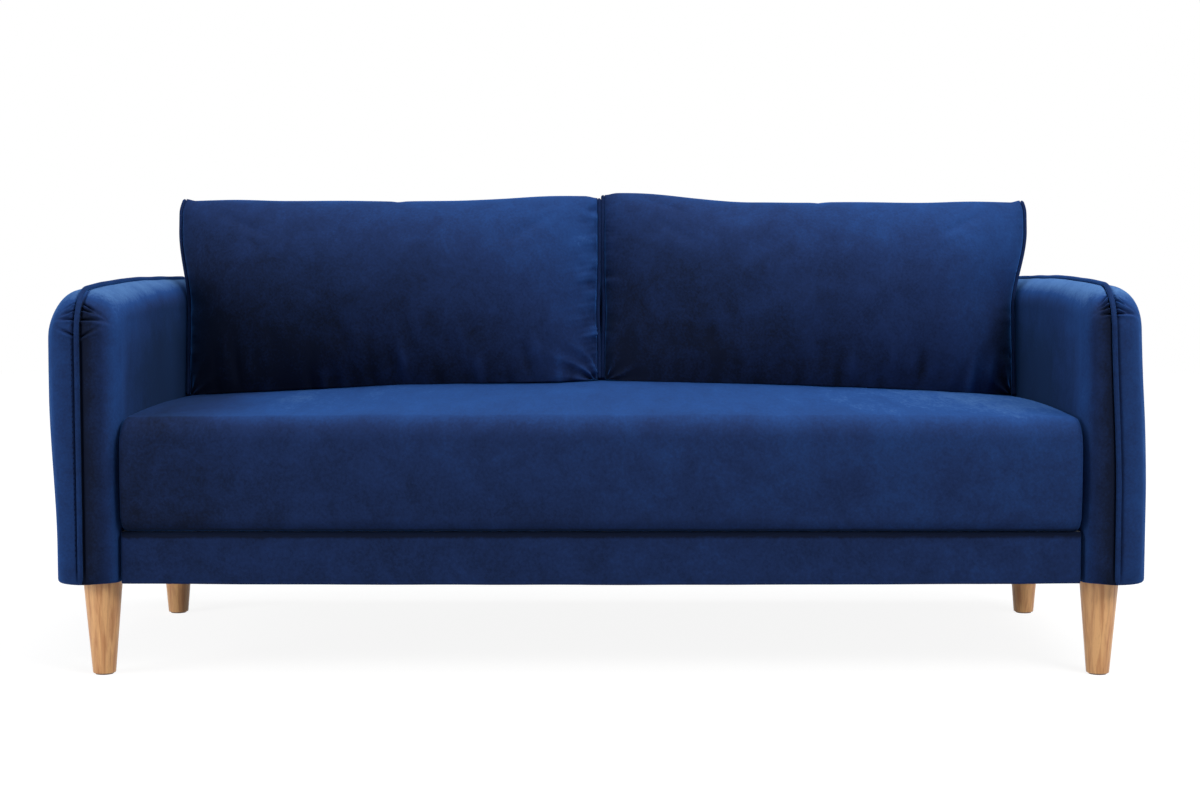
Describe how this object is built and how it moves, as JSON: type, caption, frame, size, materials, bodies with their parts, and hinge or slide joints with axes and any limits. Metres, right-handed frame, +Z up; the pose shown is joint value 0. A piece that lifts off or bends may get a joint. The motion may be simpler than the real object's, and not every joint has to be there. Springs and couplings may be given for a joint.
{
  "type": "sofa",
  "caption": "Blue velvet sofa with a full-width bench seat, loose piped back cushions, padded arms with a middle welt and turned wooden legs.",
  "frame": {"origin": "on the floor, under the middle of the sofa", "axes": "+X to the right of someone looking at its front, +Y towards its back, +Z up"},
  "size_m": [1.814, 0.85, 0.8135],
  "materials": {
    "velvet": "deep blue velvet",
    "beech": "clear satin lacquer",
    "glide": "brown",
    "zinc_steel": "zinc plated",
    "dust_cloth": "black non-woven",
    "webbing": "woven",
    "felt": "felted",
    "filling": "fibre filling",
    "foam": "upholstery foam",
    "hardboard": "raw",
    "frame_timber": "raw"
  },
  "bodies": {
    "sofa": {"apron_cover": "velvet", "apron_padding": "foam", "back_bottom_rail": "frame_timber", "back_front_cover": "velvet", "back_middle_post": "frame_timber", "back_padding": "foam", "back_rear_cover": "velvet", "back_top_rail": "frame_timber", "back_webbing": "webbing", "bolt_washers": "zinc_steel", "corner_blocks": "frame_timber", "dust_cover": "dust_cloth", "foot_glides": "glide", "frame_bolts": "zinc_steel", "front_left_leg": "beech", "front_right_leg": "beech", "insert_nuts": "zinc_steel", "left_arm_foot_board": "frame_timber", "left_arm_front_post": "frame_timber", "left_arm_inner_cover": "velvet", "left_arm_outer_cover": "velvet", "left_arm_padding": "foam", "left_arm_panels": "hardboard", "left_arm_rear_post": "frame_timber", "left_arm_top_rail": "frame_timber", "left_arm_welt": "velvet", "left_back_post": "frame_timber", "left_seat_brace": "frame_timber", "left_seat_side_rail": "frame_timber", "leg_bolts": "zinc_steel", "rear_left_leg": "beech", "rear_right_leg": "beech", "right_arm_foot_board": "frame_timber", "right_arm_front_post": "frame_timber", "right_arm_inner_cover": "velvet", "right_arm_outer_cover": "velvet", "right_arm_padding": "foam", "right_arm_panels": "hardboard", "right_arm_rear_post": "frame_timber", "right_arm_top_rail": "frame_timber", "right_arm_welt": "velvet", "right_back_post": "frame_timber", "right_seat_brace": "frame_timber", "right_seat_side_rail": "frame_timber", "seat_back_rail": "frame_timber", "seat_cover": "velvet", "seat_felt": "felt", "seat_foam": "foam", "seat_front_rail": "frame_timber", "seat_webbing": "webbing"},
    "left_cushion": {"left_cushion_cover": "velvet", "left_cushion_filling": "filling", "left_cushion_welts": "velvet"},
    "right_cushion": {"right_cushion_cover": "velvet", "right_cushion_filling": "filling", "right_cushion_welts": "velvet"}
  },
  "joints": [
    {"name": "left_cushion_lift", "type": "slide", "parent": "sofa", "child": "left_cushion", "axis": [0, 0.1392, 0.9903], "range_m": [0, 0.45]},
    {"name": "right_cushion_lift", "type": "slide", "parent": "sofa", "child": "right_cushion", "axis": [0, 0.1392, 0.9903], "range_m": [0, 0.45]}
  ]
}
